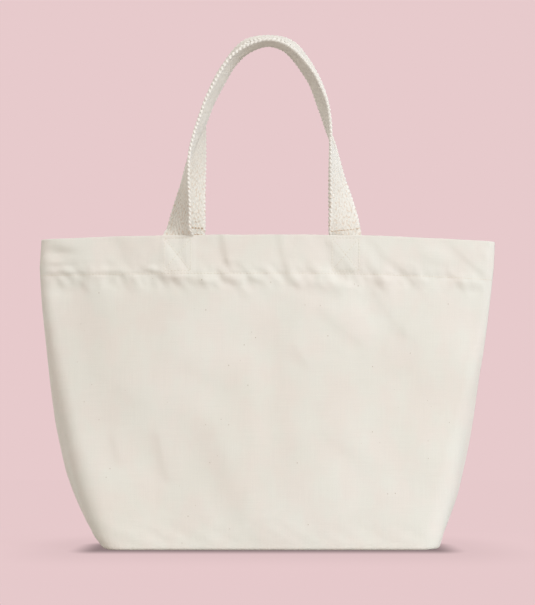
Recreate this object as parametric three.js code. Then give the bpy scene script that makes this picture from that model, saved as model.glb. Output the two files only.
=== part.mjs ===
// Canvas tote bag with a boxed bottom, a turned hem and two webbing handles.
//
// Millimetres. X runs along the bag's width, Y from its front (-Y) to its back (+Y), Z is up.
// The origin is the middle of the base, on the surface that the bag stands on.
//
// The body is two canvas panels, front and back, that meet at the side seams and at a seam along
// the middle of the base. Everything on the back is the same work as on the front, turned half way
// round the Z axis, so each piece is drawn once, on the front or on the right.

import * as THREE from 'three';

// Driving dimensions of the cut cloth
const FLAT_WIDTH = 470;              // side seam to side seam, with the bag pressed flat
const BASE_DEPTH = 134;              // boxed bottom, front to back
const BODY_HEIGHT = 320;             // floor to the top edge
const HEM_DEPTH = 40;                // turned top hem
const HEM_END_INSET = 20;            // the turned layer stops this far from each side seam
const SEAM_ALLOWANCE = 10;           // cloth inside each seam
const CANVAS_THICKNESS = 0.8;
const WEBBING_WIDTH = 32;
const WEBBING_THICKNESS = 2.6;

// How the empty bag stands
const MOUTH_HALF_WIDTH = 232;        // side seam out from the middle at the top edge
const MOUTH_HALF_DEPTH = 30;         // top edge out from the middle, front and back
const FLARE_HEIGHT = 120;            // height in which the side seams swing most of the way out
const CREASE_HALF_WIDTH_TOP = 227;   // soft crease, up from each base corner to the top edge
const BASE_CREASE_ROUND = 14;
const TOP_CREASE_ROUND = 6;
const FOLD_RADIUS = 6;               // fold between wall and base

// Handles: the middle of each leg, and how high the loop stands over the top edge
const FRONT_HANDLE = { left: -90, right: 79, rise: 197.5, twistDeg: 100 };
const BACK_HANDLE = { left: -81, right: 81, rise: 209, twistDeg: 80 };
const HANDLE_LEAN = 5;               // the loop's top leans out by this much
const TWIST_RISE = 92;               // the webbing turns edge-on within this height
const STRAP_END_DEPTH = 36;          // webbing sewn to the inside of the hem
const STRAP_END_STANDS = 1;          // and standing out of it
const HANDLE_START = 3.5;            // height over the top edge where the swinging part begins
const ARCH_OFFSET_SHARE = 1 / 3;     // of the legs' offset to one side, kept by their arch

// Thread
const THREAD = 0.6;
const BOX_STITCH_WIDTH = 27;
const BOX_STITCH_HEIGHT = 34;
const BOX_STITCH_HOLE = 0.86;        // open share of each triangle between the stitch lines
const STITCH_LIFT = 1;               // from the panel's face, clear of its facets
const OVERLOCK_WIDTH = 1;

// Every two pieces that touch keep this gap
const GAP = 0.3;

// Seam allowances inside the bag: distance in from the seam that they close, and how far they run
const SIDE_SEAM_INSET = 7;
const SEAM_FLOOR = 4;
const CORNER_SEAM_INSET = 6;
const CORNER_SEAM_REACH = 50;
const BASE_SEAM_REACH = 148;

// Half of a handle's arch, as shares of a leg's distance from its middle and of its rise
const HANDLE_OUTLINE = [[1, 0], [0.94, 0.245], [0.83, 0.495], [0.65, 0.735], [0.375, 0.92]];

// Mesh steps
const FRONT_STEPS = 8;
const CORNER_STEPS = 2;
const SIDE_STEPS = 3;
const FOLD_STEPS = 3;
const WALL_STEPS = 12;
const HEM_STEPS = 24;
const SEAM_STEPS = 12;
const HANDLE_STEPS = 44;

const HALF_FLAT = FLAT_WIDTH / 2;
const BASE_HALF_DEPTH = BASE_DEPTH / 2;
const BASE_HALF_WIDTH = HALF_FLAT - BASE_HALF_DEPTH;
const HALF_GAP = GAP / 2;
const TWO_PLIES = 2 * CANVAS_THICKNESS;

// Distance in from the panel's outer face to the hem, and to the middle of the webbing behind it
const HEM_INWARD = CANVAS_THICKNESS + GAP;
const WEBBING_INWARD = HEM_INWARD + CANVAS_THICKNESS + GAP + WEBBING_THICKNESS / 2;

const canvas = new THREE.MeshStandardMaterial({ color: 0xe7e0d5, roughness: 0.9, metalness: 0 });
const webbing = new THREE.MeshStandardMaterial({ color: 0xe3ddd0, roughness: 0.85, metalness: 0 });
const thread = new THREE.MeshStandardMaterial({ color: 0xd9cdbb, roughness: 0.7, metalness: 0 });

// Distance of the side seam from the middle at a height
function seamX(z) {
  const swing = (1 - Math.exp(-z / FLARE_HEIGHT)) / (1 - Math.exp(-BODY_HEIGHT / FLARE_HEIGHT));
  return THREE.MathUtils.lerp(BASE_HALF_WIDTH, MOUTH_HALF_WIDTH, swing);
}

// Right half of the front panel's level section: a bowed front, the soft crease that climbs from
// the base corner, and a straight side that ends at the side seam. The cloth between the crease
// and the seam keeps its length, so the bag gets shallower where the seam has swung out.
function halfSection(z) {
  const climb = Math.sin(Math.PI / 2 * z / BODY_HEIGHT);
  const creaseX = THREE.MathUtils.lerp(BASE_HALF_WIDTH, CREASE_HALF_WIDTH_TOP, climb);
  const creaseY = -Math.sqrt((HALF_FLAT - creaseX) ** 2 - (seamX(z) - creaseX) ** 2);
  const middleY = -THREE.MathUtils.lerp(BASE_HALF_DEPTH, MOUTH_HALF_DEPTH, z / BODY_HEIGHT);
  const round = THREE.MathUtils.lerp(BASE_CREASE_ROUND, TOP_CREASE_ROUND, climb);
  const middle = new THREE.Vector2(0, middleY);
  const bow = new THREE.Vector2(creaseX / 2, middleY);
  const crease = new THREE.Vector2(creaseX, creaseY);
  const seam = new THREE.Vector2(seamX(z), -HALF_GAP);
  const before = bow.clone().sub(crease).setLength(round).add(crease);
  const after = seam.clone().sub(crease).setLength(round).add(crease);
  const path = new THREE.CurvePath();
  path.add(new THREE.QuadraticBezierCurve(middle, bow, before));
  path.add(new THREE.QuadraticBezierCurve(before, crease, after));
  path.add(new THREE.LineCurve(after, seam));
  return path;
}

// Point on the front panel: `along` is measured round the cloth from the middle, `inward` from
// its outer face. Next to the side seam the point slides back so that it never crosses the middle.
function onFront(along, inward, z) {
  const path = halfSection(z);
  const share = Math.min(Math.abs(along) / HALF_FLAT, 1);
  const point = path.getPoint(share);
  const tangent = path.getTangent(share);
  let x = point.x - inward * tangent.y;
  let y = point.y + inward * tangent.x;
  if (y > -HALF_GAP) {
    x -= (y + HALF_GAP) / tangent.y * tangent.x;
    y = -HALF_GAP;
  }
  return new THREE.Vector3(Math.sign(along) * x, y, z);
}

// Moves every vertex of a flat piece, drawn as (along, inward, z), onto the front panel
function layOnFront(geometry) {
  const position = geometry.getAttribute('position');
  for (let i = 0; i < position.count; i += 1) {
    const laid = onFront(position.getX(i), position.getY(i), position.getZ(i));
    position.setXYZ(i, laid.x, laid.y, laid.z);
  }
  return geometry;
}

// Places along the panel where its mesh has a column
function panelColumns() {
  const cornerFrom = BASE_HALF_WIDTH - BASE_CREASE_ROUND;
  const cornerTo = BASE_HALF_WIDTH + BASE_CREASE_ROUND;
  const half = [0];
  for (let i = 1; i <= FRONT_STEPS; i += 1) half.push(cornerFrom * i / FRONT_STEPS);
  for (let i = 1; i <= CORNER_STEPS; i += 1) {
    half.push(THREE.MathUtils.lerp(cornerFrom, cornerTo, i / CORNER_STEPS));
  }
  for (let i = 1; i <= SIDE_STEPS; i += 1) {
    half.push(THREE.MathUtils.lerp(cornerTo, HALF_FLAT, i / SIDE_STEPS));
  }
  const left = half.slice(1).reverse().map((along) => -along);
  return left.concat(half);
}

// Rows of the panel from the base up, each as a height and a distance in from the wall line,
// for a face that lies `inside` the outer one
function panelRows(inside) {
  const rows = [];
  const radius = FOLD_RADIUS - inside;
  for (let i = 0; i <= FOLD_STEPS; i += 1) {
    const turn = Math.PI / 2 * i / FOLD_STEPS;
    rows.push({
      z: FOLD_RADIUS - radius * Math.cos(turn),
      inward: FOLD_RADIUS - radius * Math.sin(turn),
    });
  }
  for (let i = 1; i <= WALL_STEPS; i += 1) {
    rows.push({
      z: THREE.MathUtils.lerp(FOLD_RADIUS, BODY_HEIGHT, i / WALL_STEPS),
      inward: inside,
    });
  }
  return rows;
}

// Triangles of a level polygon given by the first points of a list, facing up or down
function levelFaces(outline, start, facesUp) {
  const flat = outline.map((point) => new THREE.Vector2(point.x, point.y));
  return THREE.ShapeUtils.triangulateShape(flat, []).map(([a, b, c]) => {
    const turnsLeft = flat[b].clone().sub(flat[a]).cross(flat[c].clone().sub(flat[a])) > 0;
    const ordered = turnsLeft === facesUp ? [a, b, c] : [a, c, b];
    return ordered.map((index) => start + index);
  });
}

// One canvas panel: the wall, folded under into half of the base
function panelGeometry() {
  const columns = panelColumns();
  const across = columns.length;
  const outerRows = panelRows(0);
  const innerRows = panelRows(CANVAS_THICKNESS);
  const place = (row) => columns.map((along) => onFront(along, row.inward, row.z));
  const outer = outerRows.flatMap(place);
  const inner = innerRows.flatMap(place);
  const innerStart = outer.length;
  const faces = [];
  const quad = (a, b, c, d) => faces.push([a, b, c], [a, c, d]);
  const last = across - 1;
  const topRow = (outerRows.length - 1) * across;

  for (let row = 0; row < outerRows.length - 1; row += 1) {
    for (let column = 0; column < last; column += 1) {
      const here = row * across + column;
      quad(here, here + 1, here + across + 1, here + across);
      const behind = innerStart + here;
      quad(behind + across, behind + across + 1, behind + 1, behind);
    }
    const left = row * across;
    const right = left + last;
    quad(left, left + across, innerStart + left + across, innerStart + left);
    quad(right + across, right, innerStart + right, innerStart + right + across);
  }
  for (let column = 0; column < last; column += 1) {
    const here = topRow + column;
    quad(here, here + 1, innerStart + here + 1, innerStart + here);
  }
  quad(0, innerStart, innerStart + last, last);
  faces.push(...levelFaces(outer.slice(0, across), 0, false));
  faces.push(...levelFaces(inner.slice(0, across), innerStart, true));

  const geometry = new THREE.BufferGeometry().setFromPoints(outer.concat(inner));
  geometry.setIndex(faces.flat());
  geometry.computeVertexNormals();
  return geometry;
}

// The turned hem, one layer inside the panel
function hemGeometry() {
  const length = FLAT_WIDTH - 2 * HEM_END_INSET;
  const box = new THREE.BoxGeometry(length, CANVAS_THICKNESS, HEM_DEPTH, HEM_STEPS, 1, 2);
  box.translate(0, HEM_INWARD + CANVAS_THICKNESS / 2, BODY_HEIGHT - HEM_DEPTH / 2);
  return layOnFront(box);
}

// The line of stitching that holds the hem, on the panel's outer face
function hemStitchGeometry() {
  const length = FLAT_WIDTH - 2 * GAP;
  const box = new THREE.BoxGeometry(length, THREAD, THREAD, HEM_STEPS, 1, 1);
  box.translate(0, -STITCH_LIFT - THREAD / 2, BODY_HEIGHT - HEM_DEPTH);
  return layOnFront(box);
}

// The sewn-in end of a handle, on the inside of the hem
function strapEndGeometry(along) {
  const height = STRAP_END_DEPTH + STRAP_END_STANDS;
  const box = new THREE.BoxGeometry(WEBBING_WIDTH, WEBBING_THICKNESS, height, 2, 1, 2);
  box.translate(along, WEBBING_INWARD, BODY_HEIGHT + STRAP_END_STANDS - height / 2);
  return layOnFront(box);
}

// Box-and-cross stitching that holds a strap end, on the panel's outer face
function boxStitchGeometry(along) {
  const halfWidth = BOX_STITCH_WIDTH / 2;
  const halfHeight = BOX_STITCH_HEIGHT / 2;
  const corners = [
    new THREE.Vector2(-halfWidth, -halfHeight),
    new THREE.Vector2(halfWidth, -halfHeight),
    new THREE.Vector2(halfWidth, halfHeight),
    new THREE.Vector2(-halfWidth, halfHeight),
  ];
  const shape = new THREE.Shape(corners);
  for (let i = 0; i < corners.length; i += 1) {
    const triangle = [new THREE.Vector2(), corners[i], corners[(i + 1) % corners.length]];
    const middle = triangle[1].clone().add(triangle[2]).divideScalar(3);
    const hole = triangle.map((point) => middle.clone().lerp(point, BOX_STITCH_HOLE));
    shape.holes.push(new THREE.Path(hole));
  }
  const frame = new THREE.ExtrudeGeometry(shape, { depth: THREAD, bevelEnabled: false });
  frame.rotateX(Math.PI / 2);
  frame.translate(along, -STITCH_LIFT, BODY_HEIGHT - HEM_DEPTH / 2);
  return layOnFront(frame);
}

// The swinging loop of a handle: webbing that leaves the hem flat to the panel, turns edge-on
// on its way up and bends over in a narrow arch
function handleGeometry(handle) {
  const path = handlePath(handle);
  const length = path.getLength();
  const toFront = new THREE.Vector3(0, -1, 0);
  const points = [];
  const faces = [];
  for (let step = 0; step <= HANDLE_STEPS; step += 1) {
    const share = step / HANDLE_STEPS;
    const fromEnd = length * Math.min(share, 1 - share);
    const centre = path.getPointAt(share);
    const tangent = path.getTangentAt(share);
    const inside = tangent.clone().cross(toFront).normalize();
    const edgeOn = inside.clone().cross(tangent);
    const angle = webbingTurn(handle, fromEnd, length);
    const width = inside.multiplyScalar(Math.cos(angle)).addScaledVector(edgeOn, Math.sin(angle));
    const face = tangent.clone().cross(width);
    for (const [w, t] of [[1, 1], [-1, 1], [-1, -1], [1, -1]]) {
      const corner = centre.clone();
      corner.addScaledVector(width, w * WEBBING_WIDTH / 2);
      corner.addScaledVector(face, t * WEBBING_THICKNESS / 2);
      points.push(corner);
    }
  }
  for (let step = 0; step < HANDLE_STEPS; step += 1) {
    for (let side = 0; side < 4; side += 1) {
      const a = step * 4 + side;
      const b = step * 4 + (side + 1) % 4;
      faces.push([a, b, b + 4], [a, b + 4, a + 4]);
    }
  }
  const end = HANDLE_STEPS * 4;
  faces.push([0, 3, 2], [0, 2, 1], [end, end + 1, end + 2], [end, end + 2, end + 3]);
  const geometry = new THREE.BufferGeometry().setFromPoints(points);
  geometry.setIndex(faces.flat());
  geometry.computeVertexNormals();
  return geometry;
}

// Centre line of the swinging loop, up one leg, over the top and down the other
function handlePath(handle) {
  const archCentre = ARCH_OFFSET_SHARE * (handle.left + handle.right) / 2;
  const place = (leg, [across, up]) => new THREE.Vector3(
    THREE.MathUtils.lerp(archCentre, leg, across),
    strapCentreY(leg) - HANDLE_LEAN * up,
    THREE.MathUtils.lerp(BODY_HEIGHT + HANDLE_START, BODY_HEIGHT + handle.rise, up),
  );
  const left = HANDLE_OUTLINE.map((point) => place(handle.left, point));
  const right = HANDLE_OUTLINE.map((point) => place(handle.right, point)).reverse();
  const top = left[left.length - 1].clone().add(right[0]).divideScalar(2);
  top.set(archCentre, top.y, BODY_HEIGHT + handle.rise);
  return new THREE.CatmullRomCurve3([...left, top, ...right], false, 'centripetal');
}

// How far the webbing has turned from lying flat to the panel, at a distance up from a leg's foot
function webbingTurn(handle, fromEnd, length) {
  const turned = THREE.MathUtils.smoothstep(fromEnd, 0, TWIST_RISE);
  const overTop = THREE.MathUtils.smoothstep(fromEnd, TWIST_RISE, length / 2);
  const degrees = THREE.MathUtils.lerp(handle.twistDeg, 90, overTop);
  return THREE.MathUtils.degToRad(degrees * turned);
}

// Where the middle of the webbing passes the top edge
function strapCentreY(along) {
  return onFront(along, WEBBING_INWARD, BODY_HEIGHT).y;
}

// A box against the inside of the right side seam, `from` to `to` in from the seam, which
// follows the seam as it swings out
function besideSeamGeometry(from, to, thickness) {
  const bottom = SEAM_FLOOR;
  const top = BODY_HEIGHT - HEM_DEPTH - GAP;
  const box = new THREE.BoxGeometry(to - from, thickness, top - bottom, 1, 1, SEAM_STEPS);
  box.translate(-(from + to) / 2, 0, (bottom + top) / 2);
  const position = box.getAttribute('position');
  for (let i = 0; i < position.count; i += 1) {
    position.setX(i, position.getX(i) + seamX(position.getZ(i)));
  }
  return box;
}

// A flat box lying on the base, given by its range in x and y
function onBaseGeometry([x0, x1], [y0, y1], thickness) {
  const box = new THREE.BoxGeometry(x1 - x0, y1 - y0, thickness);
  box.translate((x0 + x1) / 2, (y0 + y1) / 2, CANVAS_THICKNESS + GAP + thickness / 2);
  return box;
}

function named(name, geometry, material) {
  const mesh = new THREE.Mesh(geometry, material);
  mesh.name = name;
  return mesh;
}

// Panel, hem, handle and their stitching for one face of the bag. `ends` names the strap ends
// and gives the middle of each along the panel.
function bagFace(name, handle, ends) {
  const face = new THREE.Group();
  face.add(named(`${name}_panel`, panelGeometry(), canvas));
  face.add(named(`${name}_hem`, hemGeometry(), canvas));
  face.add(named(`${name}_hem_stitching`, hemStitchGeometry(), thread));
  face.add(named(`${name}_handle`, handleGeometry(handle), webbing));
  for (const [side, along] of Object.entries(ends)) {
    face.add(named(`${name}_${side}_strap_end`, strapEndGeometry(along), webbing));
    face.add(named(`${name}_${side}_box_stitching`, boxStitchGeometry(along), thread));
  }
  return face;
}

// The seam of one side and the boxed corner's seam under it, with their overlocked edges
function bagSide(name) {
  const side = new THREE.Group();
  const seamEnd = SIDE_SEAM_INSET + SEAM_ALLOWANCE;
  const cornerTo = BASE_HALF_WIDTH - CORNER_SEAM_INSET;
  const cornerFrom = cornerTo - SEAM_ALLOWANCE;
  const alongCorner = [-CORNER_SEAM_REACH, CORNER_SEAM_REACH];
  const corner = [cornerFrom, cornerTo];
  const cornerEdge = [cornerFrom - GAP - OVERLOCK_WIDTH, cornerFrom - GAP];
  const edge = [seamEnd + GAP, seamEnd + GAP + OVERLOCK_WIDTH];
  const plies = besideSeamGeometry(SIDE_SEAM_INSET, seamEnd, TWO_PLIES);
  const overlock = besideSeamGeometry(...edge, TWO_PLIES + THREAD);
  side.add(named(`${name}_side_seam`, plies, canvas));
  side.add(named(`${name}_side_overlock`, overlock, thread));
  side.add(named(`${name}_corner_seam`, onBaseGeometry(corner, alongCorner, TWO_PLIES), canvas));
  const cornerOverlock = onBaseGeometry(cornerEdge, alongCorner, TWO_PLIES);
  side.add(named(`${name}_corner_overlock`, cornerOverlock, thread));
  return side;
}

const bag = new THREE.Group();

const frontEnds = { left: FRONT_HANDLE.left, right: FRONT_HANDLE.right };
bag.add(bagFace('front', FRONT_HANDLE, frontEnds));

const backEnds = { left: BACK_HANDLE.right, right: BACK_HANDLE.left };
const backFace = bagFace('back', BACK_HANDLE, backEnds);
backFace.rotation.z = Math.PI;
bag.add(backFace);

bag.add(bagSide('right'));
const leftSide = bagSide('left');
leftSide.rotation.z = Math.PI;
bag.add(leftSide);

const seamAcross = [-BASE_SEAM_REACH, BASE_SEAM_REACH];
const seamPlies = [GAP, GAP + SEAM_ALLOWANCE];
const seamEdge = [seamPlies[1] + GAP, seamPlies[1] + GAP + OVERLOCK_WIDTH];
bag.add(named('base_seam', onBaseGeometry(seamAcross, seamPlies, TWO_PLIES), canvas));
bag.add(named('base_overlock', onBaseGeometry(seamAcross, seamEdge, TWO_PLIES), thread));

export default bag;
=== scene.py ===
"""Canvas tote bag with two webbing handles, standing empty on its boxed bottom.

Lengths are millimetres until a mesh is made. X runs along the bag, -Y is its front, Z is up.
"along" is measured round a panel's cloth from its middle, "inward" from the panel's outer face.
The back of the bag is worked out like the front and turned half way round the Z axis.
"""
import functools
import math

import bpy
import numpy as np
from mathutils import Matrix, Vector


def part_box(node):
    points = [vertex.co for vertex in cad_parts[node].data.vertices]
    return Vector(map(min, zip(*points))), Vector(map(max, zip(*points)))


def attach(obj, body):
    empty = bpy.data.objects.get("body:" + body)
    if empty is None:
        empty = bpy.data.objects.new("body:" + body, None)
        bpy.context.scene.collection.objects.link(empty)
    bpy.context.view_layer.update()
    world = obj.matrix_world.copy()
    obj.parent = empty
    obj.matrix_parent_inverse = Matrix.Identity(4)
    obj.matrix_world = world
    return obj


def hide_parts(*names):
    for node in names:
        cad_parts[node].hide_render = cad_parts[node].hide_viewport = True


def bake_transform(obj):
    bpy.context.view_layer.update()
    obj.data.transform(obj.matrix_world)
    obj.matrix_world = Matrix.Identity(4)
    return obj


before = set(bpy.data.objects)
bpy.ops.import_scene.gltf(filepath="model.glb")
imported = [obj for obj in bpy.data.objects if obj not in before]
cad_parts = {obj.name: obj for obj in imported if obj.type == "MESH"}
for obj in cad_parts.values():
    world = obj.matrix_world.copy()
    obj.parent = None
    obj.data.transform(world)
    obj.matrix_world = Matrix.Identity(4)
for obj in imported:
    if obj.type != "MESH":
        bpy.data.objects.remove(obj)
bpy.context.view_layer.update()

MM = 0.001

# Cloth, as it was cut
HALF_FLAT = 235.0
BASE_HALF_DEPTH = 67.0
BASE_HALF_WIDTH = HALF_FLAT - BASE_HALF_DEPTH
CLOTH = 0.8
HEM_DEPTH = 40.0
WEBBING_WIDTH = 32.0
WEBBING_THICKNESS = 2.6
SEAM_DEPTH = 2 * CLOTH + 0.35     # middle of the plies that lie on the base

# Webbing: spacing of the ribs, width of a band of them, their slant as shares of the way along
# and the way across, their height, spacing of the grains in a rib, spacing of the selvedge's
# beads, and how far the beads of the two edges are shifted along
RIB_PITCH = 3.6
RIB_BAND = WEBBING_WIDTH / 3
RIB_SLANT = (0.45, 0.89)
RIB_HEIGHT = 0.55
GRAIN_PITCH = 4.2
BEAD_PITCH = 4.4
BEAD_STAGGER = 1.4

# The way the bag stands
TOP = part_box("front_panel")[1].z / MM
MOUTH_HALF_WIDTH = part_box("front_panel")[1].x / MM
MOUTH_HALF_DEPTH = 30.0
FLARE_HEIGHT = 120.0
CREASE_HALF_WIDTH_TOP = 227.0
CREASE_ROUND = (25.0, 7.5)
FOLD_RADIUS = 3.0
HALF_GAP = 0.15
HEM_LINE = TOP - HEM_DEPTH

FACES = ("front", "back")
SIDES = ("left", "right")
OTHER = {"left": "right", "right": "left"}
SIGN = {"left": -1, "right": 1}


def lerp(a, b, t):
    return a + (b - a) * t


def smooth(t):
    t = np.clip(t, 0.0, 1.0)
    return t * t * (3 - 2 * t)


def ramp(value, start, end):
    """0 before start, 1 after end, smooth between them; start may be the larger one."""
    return smooth((value - start) / (end - start))


def unit(vectors):
    return vectors / np.linalg.norm(vectors, axis=-1, keepdims=True)


def run_along(line):
    """Distance from a line's start to each of its points."""
    return np.concatenate([[0], np.cumsum(np.linalg.norm(np.diff(line, axis=0), axis=1))])


# ---- noise

@functools.cache
def slopes(seed):
    angles = np.random.default_rng(seed).uniform(0, 2 * math.pi, (256, 256))
    return np.cos(angles), np.sin(angles)


def gradient_noise(x, y, cell, seed):
    """Smooth noise between about -0.7 and 0.7 with features the size of a cell."""
    gx, gy = slopes(seed)
    x, y = np.asarray(x, float) / cell + 97.31, np.asarray(y, float) / cell + 53.77
    x0, y0 = np.floor(x).astype(int), np.floor(y).astype(int)
    fx, fy = x - x0, y - y0
    ease_x = fx ** 3 * (fx * (fx * 6 - 15) + 10)
    ease_y = fy ** 3 * (fy * (fy * 6 - 15) + 10)

    def corner(dx, dy):
        i, j = (x0 + dx) % 256, (y0 + dy) % 256
        return gx[i, j] * (fx - dx) + gy[i, j] * (fy - dy)

    near = lerp(corner(0, 0), corner(1, 0), ease_x)
    far = lerp(corner(0, 1), corner(1, 1), ease_x)
    return lerp(near, far, ease_y)


# ---- the standing shell

def seam_x(z):
    swing = (1 - np.exp(-z / FLARE_HEIGHT)) / (1 - math.exp(-TOP / FLARE_HEIGHT))
    return lerp(BASE_HALF_WIDTH, MOUTH_HALF_WIDTH, swing)


def bezier(a, b, c, count):
    t = np.linspace(0, 1, count)[:, None]
    return (1 - t) ** 2 * a + 2 * t * (1 - t) * b + t ** 2 * c


def half_section(z):
    """Right half of the front panel's level section: a bowed front, a soft crease, and a side
    that keeps its length while its seam swings out."""
    climb = math.sin(math.pi / 2 * z / TOP)
    crease_x = lerp(BASE_HALF_WIDTH, CREASE_HALF_WIDTH_TOP, climb)
    seam = np.array([float(seam_x(z)), -HALF_GAP])
    reach = seam[0] - crease_x
    crease_y = -math.sqrt((HALF_FLAT - crease_x) ** 2 - reach ** 2)
    middle_y = -lerp(BASE_HALF_DEPTH, MOUTH_HALF_DEPTH, z / TOP)
    turn = lerp(*CREASE_ROUND, climb)
    middle = np.array([0.0, middle_y])
    bow = np.array([crease_x / 2, middle_y])
    crease = np.array([crease_x, crease_y])
    before = crease + (bow - crease) * turn / np.linalg.norm(bow - crease)
    after = crease + (seam - crease) * turn / np.linalg.norm(seam - crease)
    return np.vstack([
        bezier(middle, bow, before, 120),
        bezier(before, crease, after, 40)[1:],
        bezier(after, (after + seam) / 2, seam, 60)[1:],
    ])


SHELL_STEP = 1.0
SHELL_ROWS = int(TOP / SHELL_STEP) + 1
SHELL_COLUMNS = int(HALF_FLAT / SHELL_STEP) + 1


def shell_table():
    """Points and tangents of every level section, by height and by distance round the cloth."""
    table = np.zeros((SHELL_ROWS, SHELL_COLUMNS, 4))
    at = np.arange(SHELL_COLUMNS) * SHELL_STEP / HALF_FLAT
    for row in range(SHELL_ROWS):
        path = half_section(min(row * SHELL_STEP, TOP))
        run = run_along(path)
        x = np.interp(at * run[-1], run, path[:, 0])
        y = np.interp(at * run[-1], run, path[:, 1])
        tx, ty = np.gradient(x), np.gradient(y)
        size = np.hypot(tx, ty)
        table[row] = np.stack([x, y, tx / size, ty / size], axis=1)
    table[:, 0, 2], table[:, 0, 3] = 1.0, 0.0
    return table


SHELL = shell_table()


def on_shell(along, z):
    """Point and tangent on the smooth shell, before any wrinkle."""
    along, z = np.broadcast_arrays(np.asarray(along, float), np.asarray(z, float))
    column = np.clip(np.abs(along) / SHELL_STEP, 0, SHELL_COLUMNS - 1.001)
    row = np.clip(z / SHELL_STEP, 0, SHELL_ROWS - 1.001)
    i, j = row.astype(int), column.astype(int)
    fi, fj = (row - i)[..., None], (column - j)[..., None]
    low = lerp(SHELL[i, j], SHELL[i, j + 1], fj)
    high = lerp(SHELL[i + 1, j], SHELL[i + 1, j + 1], fj)
    x, y, tx, ty = np.moveaxis(lerp(low, high, fi), -1, 0)
    return x, y, tx, ty, np.where(along < 0, -1.0, 1.0)


# ---- wrinkles

# Creases of each face as it is seen from its own side: ends (x, z), height and width. A
# negative height is a hollow.
CREASE_GAIN = 0.7
CREASES = {
    "front": [
        (-45, 323, -39, 293, 1.3, 2.6), (-39, 293, -27, 272, 1.2, 2.6),
        (14, 318, 24, 279, 0.9, 2.8), (-103, 315, -82, 286, -0.6, 1.8),
        (-84, 316, -80, 290, 0.8, 3.0), (191, 313, 219, 290, 1.5, 4.4),
        (112, 312, 142, 284, 1.3, 6.0), (66, 312, 92, 286, 1.2, 4.6),
        (-34, 276, -18, 259, 1.2, 4.2), (47, 276, 72, 262, 1.1, 5.0),
        (63, 239, 96, 213, 1.2, 6.0), (31, 202, 41, 188, 0.9, 4.0),
        (-151, 113, -144, 92, 1.0, 5.0), (-107, 113, -97, 75, 1.0, 5.0),
        (-22, 66, -20, 180, 1.9, 15.0), (113, 264, 140, 225, 1.2, 7.0),
        (171, 264, 143, 225, 1.2, 7.0), (-200, 210, -196, 255, -2.4, 20.0),
        (60, 120, 110, 90, 0.9, 8.0), (120, 60, 160, 95, 1.1, 9.0),
        (-90, 200, -40, 170, 0.8, 10.0), (-165, 180, -120, 150, 0.8, 9.0),
    ],
    "back": [
        (-150, 260, -110, 215, 1.2, 6.0), (20, 318, 26, 283, 1.3, 3.4),
        (-60, 316, -78, 284, 1.1, 4.2), (120, 314, 146, 286, 1.2, 5.0),
        (70, 235, 120, 190, 1.3, 7.0), (-30, 70, -26, 190, 1.6, 14.0),
        (140, 110, 110, 60, 1.0, 7.0), (-120, 130, -100, 80, 1.0, 6.0),
        (200, 300, 180, 285, -1.4, 9.0), (190, 240, 195, 200, -2.2, 18.0),
        (-60, 240, -20, 205, 0.9, 6.0), (30, 130, 70, 105, 0.9, 8.0),
    ],
}
# Bulges and dents along the hem: middle (x, z), half width, half height and height
BULGE_GAIN = 1.6
BULGE_LEAN = 0.35
HEM_BULGES = {
    "front": [
        (-216, 305, 20, 6, -2.2), (-220, 295, 10, 4.5, 1.0), (-206, 285, 18, 4, 1.4),
        (-206, 266, 26, 9, -1.2), (-157, 284, 10, 3.5, 0.9), (-117, 285, 6, 3.5, 1.2),
        (-90, 278, 17, 6, 2.0), (-62, 273, 9, 5, 1.4), (-38, 275, 9, 5, 1.3), (-12, 275, 7, 4.5, 1.0),
        (38, 272, 22, 6, 1.0), (78, 268, 12, 6, 1.1), (118, 274, 8, 5, 0.9), (155, 275, 12, 6, 0.7),
        (200, 276, 20, 6, 1.2), (170, 302, 16, 9, 1.0), (100, 300, 10, 12, 0.9), (222, 305, 6, 8, 1.2),
    ],
    "back": [
        (-190, 276, 15, 6, 1.3), (-141, 284, 9, 4, 0.8), (-88, 275, 14, 6, 1.4), (-47, 276, 6, 5, 1.0),
        (-12, 283, 14, 4.5, 0.8), (41, 275, 9, 6, 1.3), (80, 284, 12, 4, 0.9), (128, 276, 7, 5, 1.1),
        (176, 277, 16, 6, 1.1), (-170, 304, 14, 8, 1.0), (150, 302, 14, 9, -1.0),
    ],
}
# How far the top edge sinks at the face's left and right ends, and the heights between which
# that sets in
RIM_SINK = {"front": ((3.2, 262, 318), (5.4, 150, 290)), "back": ((5.4, 150, 290), (3.2, 262, 318))}
SEEDS = {"front": 11, "back": 47}
# Layers of noise: height, slant with the height, share of the height, cell and seed
WARP = ((16, 0, 1, 90, 1), (16, 0, 1, 90, 2))
DRAPE = ((3.6, 0, 0.8, 105, 3), (1.5, 0.5, 0.6, 50, 13), (0.55, -0.4, 0.7, 27, 5))
FOLDS = ((3.0, -0.7, 0.45, 75, 4),)
GRAIN = ((0.12, 0, 1, 11, 6),)
LOW_RUFFLE = ((1.1, 1.4, 0.5, 24, 7),)
HEM_RUFFLE = ((2.7, 0.5, 0.55, 21, 8), (2.7 * 0.7, 0.4, 0.6, 9, 9))
HEM_UNEVEN = ((1.1, 0.6, 0.4, 24, 12),)


def crease(x, z, x0, z0, x1, z1, height, width):
    """A fold line: steep on one side, with a soft hollow beside it, and gentle on the other."""
    dx, dz = x1 - x0, z1 - z0
    length = math.hypot(dx, dz)
    t = ((x - x0) * dx + (z - z0) * dz) / length ** 2
    off = ((x - x0) * dz - (z - z0) * dx) / length
    beyond = np.maximum(np.abs(t - 0.5) - 0.5, 0) * length
    fade = np.exp(-(beyond / (1.6 * width)) ** 2)
    bend = off - 0.12 * length * (t * (1 - t))
    ridge = np.exp(-(bend / np.where(bend > 0, width, 3.0 * width)) ** 2)
    ridge = ridge - 0.4 * np.exp(-((bend - 2.4 * width) / (1.8 * width)) ** 2)
    return height * fade * ridge


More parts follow.
